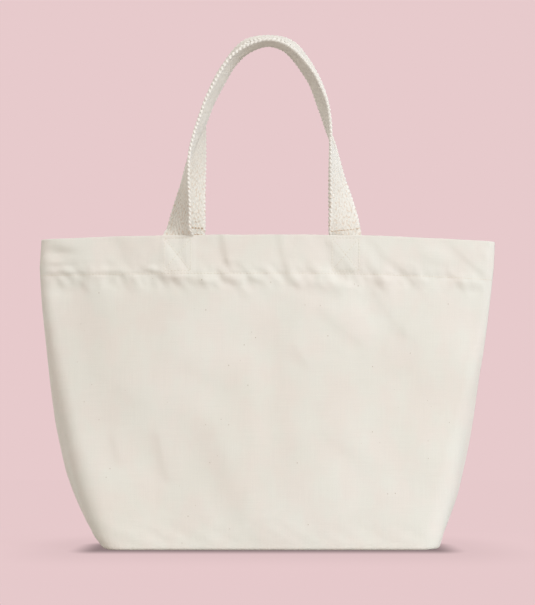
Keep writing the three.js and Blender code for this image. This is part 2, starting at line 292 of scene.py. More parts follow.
def box_stitch_places(face):
    """Middle of each strap end of a face, along the panel and up."""
    places = {}
    for side in SIDES:
        low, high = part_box(f"{face}_{side}_box_stitching")
        x = (low.x + high.x) / (2 * MM) * (1 if face == "front" else -1)
        places[side] = (x, (low.z + high.z) / (2 * MM))
    return places


BOX_HALF = (13.5, 17.0)
BOX_PLACES = {face: box_stitch_places(face) for face in FACES}


def segment_distance(x, z, a, b):
    (ax, az), (bx, bz) = a, b
    dx, dz = bx - ax, bz - az
    t = np.clip(((x - ax) * dx + (z - az) * dz) / (dx * dx + dz * dz), 0, 1)
    return np.hypot(x - ax - t * dx, z - az - t * dz)


def box_lines(middle):
    """The stitch lines of one box and cross, as pairs of corners."""
    x, z = middle
    w, h = BOX_HALF
    a, b, c, d = (x - w, z - h), (x + w, z - h), (x + w, z + h), (x - w, z + h)
    return [(a, b), (b, c), (c, d), (d, a), (a, c), (b, d)]


def layers(x, z, table, seed):
    """Sum of a table's layers of noise."""
    total = 0.0
    for height, slant, share, cell, own_seed in table:
        total = total + height * gradient_noise(x + slant * z, share * z, cell, seed + own_seed)
    return total


def wrinkles(face, along, z):
    """How far the cloth stands out from the smooth shell."""
    x = on_shell(along, z)[0] * np.where(along < 0, -1.0, 1.0)
    seed = SEEDS[face]
    out = np.zeros(np.broadcast(along, z).shape)
    for item in CREASES[face]:
        out += CREASE_GAIN * crease(x, z, *item)

    quiet = ramp(z, 0, 22)
    warp_x = x + layers(x, z, WARP[:1], seed)
    warp_z = z + layers(x, z, WARP[1:], seed)
    out += quiet * layers(warp_x, warp_z, DRAPE, seed)
    fold = 1 - np.abs(layers(warp_x, warp_z, FOLDS, seed))
    body = quiet * ramp(z, HEM_LINE + 4, HEM_LINE - 30)
    out += body * 0.35 * np.clip(fold, 0, 1) ** 3
    out += layers(x, z, GRAIN, seed)

    near_floor = ramp(z, 2, 9) * ramp(z, 34, 12)
    out += near_floor * layers(x, z, LOW_RUFFLE, seed)

    for bulge_x, bulge_z, half_width, half_height, height in HEM_BULGES[face]:
        off_x = (x - bulge_x - BULGE_LEAN * (bulge_z - z)) / half_width
        off_z = (z - bulge_z) / half_height
        out += BULGE_GAIN * height * np.exp(-off_x ** 2 - off_z ** 2)
    around_hem = np.exp(-((z - HEM_LINE + 3) / 13) ** 2)
    out += around_hem * layers(x, z, HEM_RUFFLE, seed)
    hem = ramp(z, HEM_LINE, HEM_LINE + 8)
    out += hem * layers(x, z, HEM_UNEVEN, seed)
    pull = 0.3 + 0.9 * gradient_noise(x, z * 0 + 5, 17, seed + 14)
    out -= np.clip(pull, 0.05, 0.75) * np.exp(-((z - HEM_LINE) / 1.8) ** 2)
    out += 0.25 * ramp(z, HEM_LINE - 1, HEM_LINE + 6)

    half_x, half_z = BOX_HALF
    for x0, z0 in BOX_PLACES[face].values():
        edge = np.maximum(np.abs(x - x0) - half_x - 2, np.abs(z - z0 - 1) - half_z - 1.5)
        out += 0.45 * ramp(edge, 2.5, -0.5)
        for a, b in box_lines((x0, z0)):
            out -= 0.3 * np.exp(-(segment_distance(x, z, a, b) / 0.9) ** 2)

    from_seam = HALF_FLAT - np.abs(along)
    calm = ramp(from_seam, 1, 26)
    out = out * calm - 0.5 * np.exp(-from_seam / 1.6)
    return out * ramp(z, 0.5, 8)


def sink(face, along, z):
    """How far the top edge and the cloth under it sink towards the bag's ends."""
    along = np.asarray(along, float)
    total = np.zeros(np.broadcast(along, z).shape)
    for sign, (depth, start, end) in zip((-1, 1), RIM_SINK[face]):
        share = np.clip(sign * along / HALF_FLAT, 0, 1)
        total += depth * share ** 2.2 * ramp(z, start, end)
    wave = gradient_noise(along, 0 * along, 46, SEEDS[face] + 9)
    inner = ramp(HALF_FLAT - np.abs(along), 0, 40)
    return total + 0.9 * wave * inner * ramp(z, TOP - 60, TOP)


# How far the ends of the bag stand out from their even shape, by height
SLUMP_HEIGHTS = (0, 4, 16, 29, 54, 78, 103, 128, 152, 176, 202, 228, 251, 288, 312, 320)
SLUMP = {
    "left": (-2, -1, 2, 3.5, 5, 6, 5.6, 5.8, 5, 4.4, 4, 4.4, 5, 5, 2.4, 2),
    "right": (6.5, 6, 5, 4, 3, 1, 0, -1, -1.8, -1.8, -0.2, 1, 2, 4.3, 4.5, 4.5),
}


# How far the boxed corners stand off the floor, left and right
CORNER_LIFT = (2.3, 0.8)


def settled(points):
    """Moves points of the standing bag to where its ends have settled."""
    points = np.array(points, float)
    x, z = points[..., 0], points[..., 2]
    share = (np.abs(x) / MOUTH_HALF_WIDTH) ** 2
    low = (np.abs(x) / (BASE_HALF_WIDTH + 10)) ** 2
    share = lerp(low, share, ramp(z, 0, 160))
    left = -np.interp(z, SLUMP_HEIGHTS, SLUMP["left"])
    right = np.interp(z, SLUMP_HEIGHTS, SLUMP["right"])
    points[..., 0] += share * np.where(x < 0, left, right)
    corner = ramp(np.abs(x), BASE_HALF_WIDTH - 13, BASE_HALF_WIDTH + 3)
    lift = np.where(x < 0, *CORNER_LIFT)
    points[..., 2] += lift * corner * ramp(z, 14, 1)
    return points


def on_face(face, along, inward, z):
    """Points of a face's cloth at a distance in from its outer surface, wrinkles included."""
    along, inward, z = np.broadcast_arrays(
        np.asarray(along, float), np.asarray(inward, float), np.asarray(z, float))
    x, y, tx, ty, side = on_shell(along, z)
    depth = inward - wrinkles(face, along, z)
    px, py = x - depth * ty, y + depth * tx
    past = np.maximum(py + HALF_GAP + CLOTH / 2, 0.0)
    px = px - past / np.maximum(ty, 1e-3) * tx
    points = np.stack([side * px, py - past, z - sink(face, along, z)], axis=-1)
    if face == "back":
        points[..., :2] *= -1
    return settled(points)


def outward_on(face, along, z):
    """Unit vector out of a face's surface."""
    step = 0.6
    along = np.asarray(along, float)
    across = on_face(face, along + step, 0, z) - on_face(face, along - step, 0, z)
    up = on_face(face, along, 0, z + step) - on_face(face, along, 0, z - step)
    return unit(np.cross(across, up))


# ---- mesh helpers

STITCH = 2.7
STITCH_PITCH = 3.3
THREAD_RADIUS = 0.34
THREAD_SIDES = 6


def grid_faces(rows, columns, wrap=False):
    """Quads of a grid of points laid out row by row; wrap joins the last column to the first."""
    row = np.arange(rows - 1)[:, None] * columns
    column = np.arange(columns if wrap else columns - 1)[None, :]
    after = (column + 1) % columns
    quads = np.stack([row + column, row + after, row + columns + after, row + columns + column], -1)
    return quads.reshape(-1, 4)


def add_object(name, data):
    obj = bpy.data.objects.new(name, data)
    bpy.context.scene.collection.objects.link(obj)
    return obj


def piece(name, points, quads, material, uv=None):
    mesh = bpy.data.meshes.new(name)
    quads = np.asarray(quads)
    mesh.from_pydata(np.asarray(points, float).reshape(-1, 3) * MM, [], quads)
    mesh.shade_smooth()
    if uv is not None:
        layer = mesh.uv_layers.new(name="UVMap")
        layer.data.foreach_set("uv", (np.asarray(uv, float).reshape(-1, 2) * MM)[quads.ravel()].ravel())
    mesh.validate()
    mesh.materials.append(material)
    return add_object(name, mesh)


def keep_modifiers(obj):
    """Applies an object's modifiers to its mesh."""
    evaluated = obj.evaluated_get(bpy.context.evaluated_depsgraph_get())
    mesh = bpy.data.meshes.new_from_object(evaluated)
    obj.modifiers.clear()
    obj.data = mesh
    return obj


def solidify(obj, thickness):
    modifier = obj.modifiers.new("plies", "SOLIDIFY")
    modifier.thickness = thickness * MM
    modifier.offset = 0
    return keep_modifiers(obj)


def ring(one, other):
    """Directions round a thread, from two that are square to it and to each other."""
    turn = (np.arange(THREAD_SIDES) * 2 * math.pi / THREAD_SIDES)[:, None]
    return np.cos(turn) * one[:, None] + np.sin(turn) * other[:, None]


def tube(path, radius):
    """Points and quads of a round thread along a path, closed at its ends."""
    path = np.asarray(path, float)
    tangent = unit(np.gradient(path, axis=0))
    normals = np.zeros_like(path)
    normal = np.cross(tangent[0], [0.3, 0.5, 0.8])
    for index, direction in enumerate(tangent):
        normal = normal - direction * (direction @ normal)
        normal = normal / math.sqrt(normal @ normal)
        normals[index] = normal
    radii = np.full((len(path), 1, 1), radius)
    radii[[0, -1]] = radius * 0.05
    points = path[:, None] + radii * ring(normals, np.cross(tangent, normals))
    return points.reshape(-1, 3), grid_faces(len(path), THREAD_SIDES, wrap=True)


def join_parts(parts):
    points, quads, start = [], [], 0
    for part_points, part_quads in parts:
        points.append(part_points)
        quads.append(part_quads + start)
        start += len(part_points)
    return np.vstack(points), np.vstack(quads)


def on_bag(obj, slot, *nodes):
    """A piece that stays with the bag's body, in place of some CAD nodes."""
    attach(obj, "bag")
    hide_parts(*nodes)
    return obj


def stitches(start, end, out):
    """Stitches lying on the cloth, their ends pulled into the needle holes: points and quads."""
    t = np.array([0.0, 0.06, 0.2, 0.5, 0.8, 0.94, 1.0])
    rise = np.array([-1.0, -0.35, 0.35, 0.6, 0.35, -0.35, -1.0]) * THREAD_RADIUS - 0.05
    radius = np.array([0.05, 0.8, 1.0, 1.0, 1.0, 0.8, 0.05]) * THREAD_RADIUS
    beside = np.cross(unit(end - start), out)
    path = start[:, None] + (end - start)[:, None] * t[:, None] + out[:, None] * rise[:, None]
    points = path[:, :, None] + radius[:, None, None] * ring(out, beside)[:, None]
    quads = grid_faces(len(t), THREAD_SIDES, wrap=True)
    offsets = np.arange(len(start)) * len(t) * THREAD_SIDES
    return points.reshape(-1, 3), (quads[None] + offsets[:, None, None]).reshape(-1, 4)


# ---- materials

YARN_PITCH = 0.00062                 # metres, as is every length in a material
SEED_BROWN = (0.34, 0.235, 0.14, 1)  # specks of cotton seed in the canvas
RAW_TAN = (0.71, 0.55, 0.42, 1)      # unbleached yarns towards the webbing's ends


class Graph:
    """Short names for the nodes of a material or a world."""

    def __init__(self, owner):
        owner.use_nodes = True
        self.tree = owner.node_tree
        self.tree.nodes.clear()

    def node(self, kind, inputs, **settings):
        """A node with its settings, and its inputs by name or number: outputs of others, or values."""
        made = self.tree.nodes.new(kind)
        for key, value in settings.items():
            setattr(made, key, value)
        for key, value in inputs.items():
            if isinstance(value, bpy.types.NodeSocket):
                self.tree.links.new(value, made.inputs[key])
            else:
                made.inputs[key].default_value = value
        return made

    def math(self, operation, *values):
        return self.node("ShaderNodeMath", dict(enumerate(values)), operation=operation).outputs[0]

    def add(self, a, b):
        return self.math("ADD", a, b)

    def less(self, a, b):
        return self.math("SUBTRACT", a, b)

    def times(self, a, b):
        return self.math("MULTIPLY", a, b)

    def size(self, value):
        return self.math("ABSOLUTE", value)

    def wave(self, value, pitch):
        """A sine that turns its sign once every pitch."""
        return self.math("SINE", self.times(value, math.pi / pitch))

    def mix(self, factor, a, b, blend="MIX"):
        inputs = {"Factor": factor, 6: a, 7: b}
        return self.node("ShaderNodeMix", inputs, data_type="RGBA", blend_type=blend).outputs[2]

    def tint(self, colour, by):
        return self.mix(1.0, colour, by, "MULTIPLY")

    def ramp(self, value, low, high, start=0.0, end=1.0):
        inputs = {"Value": value, "From Min": low, "From Max": high, "To Min": start, "To Max": end}
        return self.node("ShaderNodeMapRange", inputs, interpolation_type="SMOOTHSTEP").outputs[0]

    def noise(self, vector, scale, detail=2.0):
        inputs = {"Vector": vector, "Scale": scale, "Detail": detail, "Roughness": 0.5}
        return self.node("ShaderNodeTexNoise", inputs).outputs["Fac"]

    def scaled(self, vector, x, y):
        inputs = {0: vector, 1: (x, y, 1.0)}
        return self.node("ShaderNodeVectorMath", inputs, operation="MULTIPLY").outputs[0]

    def parts(self, vector):
        return self.node("ShaderNodeSeparateXYZ", {0: vector}).outputs

    def cloth_uv(self):
        """The cloth's own coordinates in metres, as a vector and its two parts."""
        uv = self.node("ShaderNodeUVMap", {}, uv_map="UVMap").outputs[0]
        return uv, *self.parts(uv)[:2]

    def place(self):
        return self.node("ShaderNodeTexCoord", {}).outputs["Object"]

    def surface(self, colour, roughness, height, distance, sheen):
        bump = self.node("ShaderNodeBump", {"Strength": 1.0, "Distance": distance, "Height": height})
        shader = self.node("ShaderNodeBsdfPrincipled", {
            "Base Color": colour, "Roughness": roughness, "Specular IOR Level": 0.2,
            "Sheen Weight": sheen, "Sheen Roughness": 0.5, "Normal": bump.outputs[0]})
        self.node("ShaderNodeOutputMaterial", {0: shader.outputs[0]})


def canvas_material():
    """Undyed plain-weave cotton canvas: uneven yarns, seed flecks and a slightly uneven tone."""
    material = bpy.data.materials.new("undyed_canvas")
    g = Graph(material)
    uv, u, v = g.cloth_uv()
    place = g.place()

    drift = g.times(g.less(g.noise(place, 90.0), 0.5), 0.0011)
    s = g.wave(g.add(u, drift), YARN_PITCH)
    t = g.wave(g.less(v, drift), YARN_PITCH)
    over_s = g.times(g.math("SIGN", s), t)
    over_t = g.times(g.math("SIGN", t), s)
    warp = g.times(g.size(s), g.math("MULTIPLY_ADD", over_s, 0.5, 0.5))
    weft = g.times(g.size(t), g.math("MULTIPLY_ADD", over_t, -0.5, 0.5))
    weave = g.math("MAXIMUM", warp, weft)

    slub_warp = g.noise(g.scaled(uv, 1600.0, 26.0), 1.0, 1.0)
    slub_weft = g.noise(g.scaled(uv, 26.0, 1600.0), 1.0, 1.0)
    slubs = g.add(slub_warp, slub_weft)
    thick = g.times(g.less(slubs, 1.0), 0.3)

    tone = g.noise(place, 9.0, 3.0)
    colour = g.mix(g.ramp(tone, 0.3, 0.7), (0.845, 0.800, 0.727, 1), (0.868, 0.832, 0.765, 1))
    blotch = g.ramp(g.noise(g.scaled(uv, 34.0, 24.0), 1.0, 2.0), 0.35, 0.65)
    colour = g.tint(colour, g.mix(blotch, (1.0, 0.978, 0.972, 1), (0.985, 1.0, 0.99, 1)))
    yarn_tone = g.ramp(slubs, 0.75, 1.25, 0.985, 1.01)
    # Painted shade: the colour darkens in the gaps between the yarns; the slubs vary the yarns' own tone.
    weave_gap_shade = g.ramp(weave, 0.0, 0.7, 0.86, 1.0)
    colour = g.tint(colour, g.times(yarn_tone, weave_gap_shade))

    cells = {"Vector": g.scaled(uv, 260.0, 200.0), "Scale": 1.0, "Randomness": 1.0}
    fleck = g.node("ShaderNodeTexVoronoi", cells, feature="F1")
    chosen = g.node("ShaderNodeSeparateColor", {0: fleck.outputs["Color"]})
    seldom = g.ramp(chosen.outputs[0], 0.962, 0.985)
    spot = g.ramp(fleck.outputs["Distance"], 0.17, 0.06)
    colour = g.mix(g.times(g.times(seldom, spot), 0.6), colour, SEED_BROWN)

    fuzz = g.noise(place, 2600.0, 2.0)
    height = g.add(g.add(weave, thick), g.times(fuzz, 0.35))
    g.surface(colour, g.ramp(fuzz, 0.3, 0.7, 0.84, 0.96), height, 0.00016, 0.22)
    return material


def herringbone_ribs(g, u, v):
    """The ribs of the webbing's mesh again, as a wave that is 0 in the furrows."""
    band = RIB_BAND * MM
    from_edge = g.add(v, WEBBING_WIDTH / 2 * MM)
    zigzag = g.less(g.math("MODULO", g.math("DIVIDE", from_edge, band), 2.0), 1.0)
    zigzag = g.times(g.size(zigzag), RIB_SLANT[1] * band)
    return g.size(g.wave(g.add(g.times(u, RIB_SLANT[0]), zigzag), RIB_PITCH * MM))


def webbing_material():
    """Herringbone cotton webbing: the ribs are in the mesh, the yarns of each rib are here."""
    material = bpy.data.materials.new("cotton_webbing")
    g = Graph(material)
    uv, u, v = g.cloth_uv()
    place = g.place()

    zone = g.less(g.math("PINGPONG", g.add(v, 1.0), 0.004), 0.002)
    yarn = g.size(g.wave(g.add(u, zone), 0.0011))
    cross = g.size(g.wave(v, 0.0009))
    weave = g.times(g.math("SQRT", yarn), g.math("MULTIPLY_ADD", cross, 0.45, 0.55))
    slubs = g.noise(g.scaled(uv, 240.0, 900.0), 1.0, 2.0)

    tone = g.noise(place, 14.0, 3.0)
    colour = g.mix(g.ramp(tone, 0.3, 0.7), (0.85, 0.80, 0.72, 1), (0.90, 0.86, 0.785, 1))
    patchy = g.ramp(g.noise(g.scaled(uv, 260.0, 260.0), 1.0, 2.0), 0.35, 0.62, 0.25, 1.0)
    # Painted shade: the colour darkens between the yarns and, patchily, in the furrows of the ribs; the
    # slubs vary the yarns' own tone.
    yarns = g.times(g.ramp(weave, 0.05, 0.7, 0.86, 1.0), g.ramp(slubs, 0.3, 0.7, 0.95, 1.02))
    rib_furrow_shade = g.times(g.ramp(herringbone_ribs(g, u, v), 0.0, 0.55, 1.0, 0.0), patchy)
    colour = g.tint(colour, g.times(yarns, g.ramp(rib_furrow_shade, 0.0, 1.0, 1.0, 0.86)))

    selvedge = g.ramp(g.size(v), 0.0130, 0.0144)
    stagger = g.times(g.math("SIGN", v), BEAD_STAGGER * MM)
    bead = g.size(g.wave(g.add(u, stagger), BEAD_PITCH * MM))
    # Painted shade: a dark colour in the gaps between the selvedge's beads.
    bead_gap_shade = g.times(selvedge, g.ramp(bead, 0.1, 0.6, 0.45, -0.05))
    colour = g.mix(bead_gap_shade, colour, (0.50, 0.44, 0.36, 1))
    # Painted highlight: the selvedges are mixed towards a paler colour.
    colour = g.mix(g.times(selvedge, 0.5), colour, (0.93, 0.90, 0.84, 1))

    near_hem = g.ramp(g.size(u), 0.14, 0.19, 0.06, 1.0)
    mottle = g.ramp(g.noise(g.scaled(uv, 330.0, 420.0), 1.0, 1.0), 0.5, 0.68)
    colour = g.mix(g.times(g.times(mottle, near_hem), 0.55), colour, RAW_TAN)

    fuzz = g.noise(place, 2200.0, 2.0)
    height = g.add(weave, g.times(fuzz, 0.4))
    g.surface(colour, g.ramp(fuzz, 0.3, 0.7, 0.8, 0.95), height, 0.00022, 0.2)
    return material


def thread_material(name, low, high):
    """Twisted sewing thread."""
    material = bpy.data.materials.new(name)
    g = Graph(material)
    place = g.place()
    colour = g.mix(g.ramp(g.noise(place, 420.0, 2.0), 0.3, 0.7), low, high)
    twist = g.noise(place, 5200.0, 2.0)
    g.surface(colour, g.ramp(twist, 0.3, 0.7, 0.55, 0.8), twist, 0.0001, 0.1)
    return material


canvas = canvas_material()
webbing = webbing_material()
cream_thread = thread_material("cream_thread", (0.76, 0.70, 0.60, 1), (0.84, 0.79, 0.70, 1))
tan_thread = thread_material("tan_thread", (0.58, 0.42, 0.28, 1), (0.72, 0.56, 0.41, 1))


# ---- panels

def panel_columns():
    middle = np.linspace(-BASE_HALF_WIDTH, BASE_HALF_WIDTH, 135)
    side = np.linspace(BASE_HALF_WIDTH, HALF_FLAT, 28)[1:]
    return np.concatenate([-side[::-1], middle, side]), len(side)


HEM_PLY = 1.5                        # inward to the middle of the hem's inner ply
HEM_PLY_OVER_EDGE = 2.3              # and where it passes over its own turned-under edge
TURNED_EDGE = 1.4                    # inward to that edge


def hem_ply(z):
    """How far in the hem's inner ply lies."""
    return lerp(HEM_PLY, HEM_PLY_OVER_EDGE, ramp(z, HEM_LINE + 19, HEM_LINE + 11))


def panel_rows():
    """Rows of the sheet from the base fold up, over the rim and down inside: inward and height."""
    half = CLOTH / 2
    rows = []
    radius = FOLD_RADIUS - half
    for angle in np.linspace(0, math.pi / 2, 7):
        rows.append((FOLD_RADIUS - radius * math.sin(angle), FOLD_RADIUS - radius * math.cos(angle)))
    dense_from = HEM_LINE - 18
    rim = 0.55
    rim_z = TOP - half - rim
    for start, end, count in ((FOLD_RADIUS, dense_from, 104), (dense_from, rim_z, 48)):
        rows.extend((half, z) for z in np.linspace(start, end, count)[1:])
    for angle in np.linspace(0, math.pi, 7)[1:]:
        rows.append((half + rim - rim * math.cos(angle), rim_z + rim * math.sin(angle)))
    low_z = HEM_LINE + 0.9
    for z in np.linspace(rim_z, low_z, 18)[1:]:
        rows.append((float(hem_ply(z)), z))
    under = 0.45
    for angle in np.linspace(0, math.pi, 5)[1:]:
        inward = HEM_PLY_OVER_EDGE - under + under * math.cos(angle)
        rows.append((inward, low_z - under * math.sin(angle)))
    for z in np.linspace(low_z, low_z + 9, 5)[1:]:
        rows.append((TURNED_EDGE, z))
    return np.array(rows)


def patch_quads(number):
    """Quads of a grid of point numbers, wound to face down."""
    return np.stack([number[:-1, :-1], number[1:, :-1], number[1:, 1:], number[:-1, 1:]], -1).reshape(-1, 4)


def coons(top, bottom, left, right):
    """A patch between four edges that share their corners."""
    s = np.linspace(0, 1, len(top))[None, :, None]
    t = np.linspace(0, 1, len(left))[:, None, None]
    ruled_t = (1 - t) * top[None] + t * bottom[None]
    ruled_s = (1 - s) * left[:, None] + s * right[:, None]
    corners = ((1 - s) * (1 - t) * top[0] + s * (1 - t) * top[-1]
               + (1 - s) * t * bottom[0] + s * t * bottom[-1])
    return ruled_t + ruled_s - corners


def make_panel(face):
    """One cut of canvas: half of the base, the fold, the wall, and the hem turned down inside."""
    columns, side_count = panel_columns()
    rows = panel_rows()
    inward, z = rows[:, 0][:, None], rows[:, 1][:, None]
    wall = on_face(face, columns[None, :], inward, z)
    across = len(columns)
    run = run_along(rows)
    wall_uv = np.stack(np.broadcast_arrays(columns[None, :], run[:, None]), -1)

    first, last = side_count, across - 1 - side_count
    fold = wall[0]
    top, left, right = fold[first:last + 1], fold[:first + 1][::-1], fold[last:]
    bottom = lerp(left[-1], right[-1], np.linspace(0, 1, len(top))[:, None])
    base = coons(top, bottom, left, right)
    uneven = gradient_noise(base[..., 0], base[..., 1], 40, SEEDS[face] + 20)
    s = np.linspace(0, 1, len(top))[None, :]
    t = np.linspace(0, 1, len(left))[:, None]
    inside = np.minimum(ramp(np.minimum(s, 1 - s), 0, 0.08), ramp(np.minimum(t, 1 - t), 0, 0.25))
    base[..., 2] += 1.6 * np.clip(uneven, 0, 1) * inside
    base_uv = np.stack(np.broadcast_arrays(columns[None, first:last + 1], -t * BASE_HALF_DEPTH), -1)

    count = wall.shape[0] * across
    number = np.zeros(base.shape[:2], int)
    number[0] = np.arange(first, last + 1)
    number[:, 0] = np.arange(first, -1, -1)
    number[:, -1] = np.arange(last, across)
    inner = number[1:, 1:-1]
    number[1:, 1:-1] = count + np.arange(inner.size).reshape(inner.shape)
    points = np.vstack([wall.reshape(-1, 3), base[1:, 1:-1].reshape(-1, 3)])
    wall_quads = grid_faces(wall.shape[0], across)
    quads = np.vstack([wall_quads, patch_quads(number)])

    obj = piece(f"{face}_panel_cloth", points, quads, canvas)
    layer = obj.data.uv_layers.new(name="UVMap")
    flat_uv = wall_uv.reshape(-1, 2)[wall_quads.ravel()]
    patch = np.arange(base.shape[0] * base.shape[1]).reshape(base.shape[:2])
    under_uv = base_uv.reshape(-1, 2)[patch_quads(patch).ravel()]
    layer.data.foreach_set("uv", (np.vstack([flat_uv, under_uv]) * MM).ravel())
    solidify(obj, CLOTH)
    return on_bag(obj, "canvas", f"{face}_panel", f"{face}_hem")


# ---- stitching on the panels

SEAM_CLEARANCE = 2.5
STRAP_GAP = 0.2


def stitch_row(face, line, inward=0.0):
    """Stitches along a straight line on a face, given by its ends (along, z)."""
    (a0, z0), (a1, z1) = line
    count = max(int(round(math.hypot(a1 - a0, z1 - z0) / STITCH_PITCH)), 1)
    middle = (np.arange(count) + 0.5) / count
    half = 0.5 * STITCH / STITCH_PITCH / count
    ends = (middle - half, middle + half)
    start, end = (on_face(face, lerp(a0, a1, t), inward, lerp(z0, z1, t)) for t in ends)
    out = outward_on(face, lerp(a0, a1, middle), lerp(z0, z1, middle))
    return stitches(start, end, out if inward < 1 else -out)


def thread_on_bag(name, parts, node):
    points, quads = join_parts(parts)
    return on_bag(piece(name, points, quads, cream_thread), "thread", node)


def make_hem_stitches(face):
    reach = HALF_FLAT - SEAM_CLEARANCE
    outside = stitch_row(face, ((-reach, HEM_LINE), (reach, HEM_LINE)))
    reach, up = reach - 4, HEM_LINE + 2.2
    inside = stitch_row(face, ((-reach, up), (reach, up)), HEM_PLY_OVER_EDGE + CLOTH / 2)
    return thread_on_bag(f"{face}_hem_stitches", [outside, inside], f"{face}_hem_stitching")


def strap_inward(z):
    """How far in the middle of a sewn-in strap end lies, against the hem's inner ply."""
    return hem_ply(z) + CLOTH / 2 + STRAP_GAP + WEBBING_THICKNESS / 2


def make_box_stitches(face, side):
    inner = HEM_PLY_OVER_EDGE + CLOTH / 2 + STRAP_GAP + WEBBING_THICKNESS
    parts = []
    for line in box_lines(BOX_PLACES[face][side]):
        parts.append(stitch_row(face, line))
        parts.append(stitch_row(face, line, inner))
    return thread_on_bag(f"{face}_{side}_box_stitches", parts, f"{face}_{side}_box_stitching")


# ---- straps

STRAP_END = 36.0
STRAP_STEP = 0.8
HANDLE_LEAN = 5.0
ROW_STITCHES = 9
# How each leg runs, seen from its own side of the bag: height over the top edge, distance out
# from the middle, and turn of the webbing from lying flat to the panel
LEG_COURSE = {
    ("front", "left"): (
        (3.5, 90.0, 40), (12, 89.0, 47), (27, 87.0, 56), (52, 83.8, 74), (80, 79.3, 90), (102, 72.3, 98),
        (114, 67.6, 101), (126.5, 63.2, 102), (138.6, 58.6, 102), (151, 52.2, 102),
        (165, 44.4, 102), (178, 36.0, 101), (190.5, 21.0, 95)),
    ("front", "right"): (
        (3.5, 79.3, 10), (30, 76.5, 41), (52, 73.0, 58), (74, 69.5, 72), (92, 66.6, 84),
        (110, 63.2, 97), (129, 58.8, 104), (137, 56.2, 105), (150, 51.2, 103), (159.5, 46.8, 102),
        (170, 40.0, 101), (179, 33.2, 99), (186.5, 26.3, 97), (193, 18.0, 94)),
    ("back", "right"): (
        (3.5, 81.0, 0), (30, 79.5, 25), (55, 76.9, 42), (80, 73.5, 58), (105, 70.0, 72),
        (123, 67.3, 83), (136, 64.9, 92), (148.6, 60.8, 98), (161, 55.3, 102), (173, 49.3, 103),
        (186, 41.2, 103), (195, 35.0, 103), (203.5, 27.8, 103), (209.3, 18.8, 103)),
    ("back", "left"): (
        (3.5, 81.0, 4), (30, 77.0, 42), (55, 73.5, 60), (80, 70.4, 74), (100, 67.8, 85),
        (112, 65.4, 94), (124, 63.0, 101), (136.4, 60.8, 105), (148.6, 58.0, 107), (161, 53.8, 107),
        (173, 48.4, 107), (186, 41.2, 107), (195, 35.2, 106), (203.2, 28.6, 105),
        (209, 19.8, 104)),
}
TOP_OF_LOOP = {"front": (197.6, 92), "back": (212.0, 103)}


def catmull(points, per_span=40):
    """A smooth line through points, evenly paced enough to be measured along."""
    ends = np.vstack([2 * points[0] - points[1], points, 2 * points[-1] - points[-2]])
    spans = np.linalg.norm(np.diff(ends, axis=0), axis=1) ** 0.5
    knots = np.concatenate([[0], np.cumsum(spans)])

    def between(p, q, i, j, t):
        return lerp(p, q, (t - knots[i]) / (knots[j] - knots[i]))

    line = []
    for i in range(1, len(ends) - 2):
        for t in np.linspace(knots[i], knots[i + 1], per_span, endpoint=False):
            p1, p2, p3 = (between(ends[k], ends[k + 1], k, k + 1, t) for k in (i - 1, i, i + 1))
            q1, q2 = between(p1, p2, i - 1, i + 1, t), between(p2, p3, i, i + 2, t)
            line.append(between(q1, q2, i, i + 1, t))
    line.append(points[-1])
    return np.array(line)


def evenly(line, step):
    run = run_along(line)
    count = int(round(run[-1] / step))
    at = np.linspace(0, run[-1], count + 1)
    return np.stack([np.interp(at, run, line[:, k]) for k in range(3)], -1), at


def eased(values, passes):
    """Smooths a row of values in place, with its ends held."""
    for _ in range(passes):
        values[1:-1] = (values[:-2] + 2 * values[1:-1] + values[2:]) / 4


def strap_course(face):
    """Centre line of a whole strap in its own face's frame, left end to right end, with its turn."""
    own = 1 if face == "front" else -1
    rise, top_turn = TOP_OF_LOOP[face]

    def leg(side):
        sign = SIGN[side]
        foot = abs(BOX_PLACES[face][side if own > 0 else OTHER[side]][0])
        course = np.array(LEG_COURSE[(face, side)], float)
        course[:, 1] += (foot - course[0, 1]) * ramp(course[:, 0], 90, 0)
        heights = np.linspace(TOP - STRAP_END, TOP - 0.5, 16)
        sewn = on_face(face, sign * foot, strap_inward(heights), heights)
        if own < 0:
            sewn[:, :2] *= -1
        lean = sewn[-1, 1] - HANDLE_LEAN * course[:, 0] / rise
        loose = np.stack([sign * course[:, 1], lean, TOP + course[:, 0]], -1)
        return sewn, loose, course[:, 2]

    left_sewn, left, left_turn = leg("left")
    right_sewn, right, right_turn = leg("right")
    top = [0.5 * own, (left[-1, 1] + right[-1, 1]) / 2, TOP + rise]
    keys = np.vstack([left, [top], right[::-1]])
    turns = np.concatenate([left_turn, [top_turn], right_turn[::-1]])
    line = np.vstack([left_sewn, catmull(keys), right_sewn[::-1]])
    even, at = evenly(line, STRAP_STEP)
    marks = [np.linalg.norm(even - key, axis=1).argmin() for key in keys]
    turn = np.interp(np.arange(len(even)), marks, turns)
    turn = turn * ramp(even[:, 2] - TOP, -1.5, 2.5)
    eased(even, 16)
    eased(turn, 24)
    return even, turn, at


def strap_frames(face):
    """Centre, width and face direction at each step of a strap, in its own face's frame."""
    centre, turn, at = strap_course(face)
    tangent = unit(np.gradient(centre, axis=0))
    inside = unit(np.cross(tangent, [0, -1.0, 0]))
    edge_on = np.cross(inside, tangent)
    angle = np.radians(turn)[:, None]
    width = np.cos(angle) * inside + np.sin(angle) * edge_on
    out = np.cross(tangent, width)
    return centre, width, out, at


def strap_section():
    """Outline of the webbing's section as (across, side): flat faces with round selvedges."""
    half = WEBBING_WIDTH / 2
    r = WEBBING_THICKNESS / 2
    flat = [(w, r) for w in np.linspace(-half + r, half - r, 38)]
    turns = np.linspace(0, math.pi, 7)[1:-1]
    selvedge = [(half - r + r * math.sin(turn), r * math.cos(turn)) for turn in turns]
    upper = np.array(flat + selvedge)
    return np.vstack([upper, -upper])


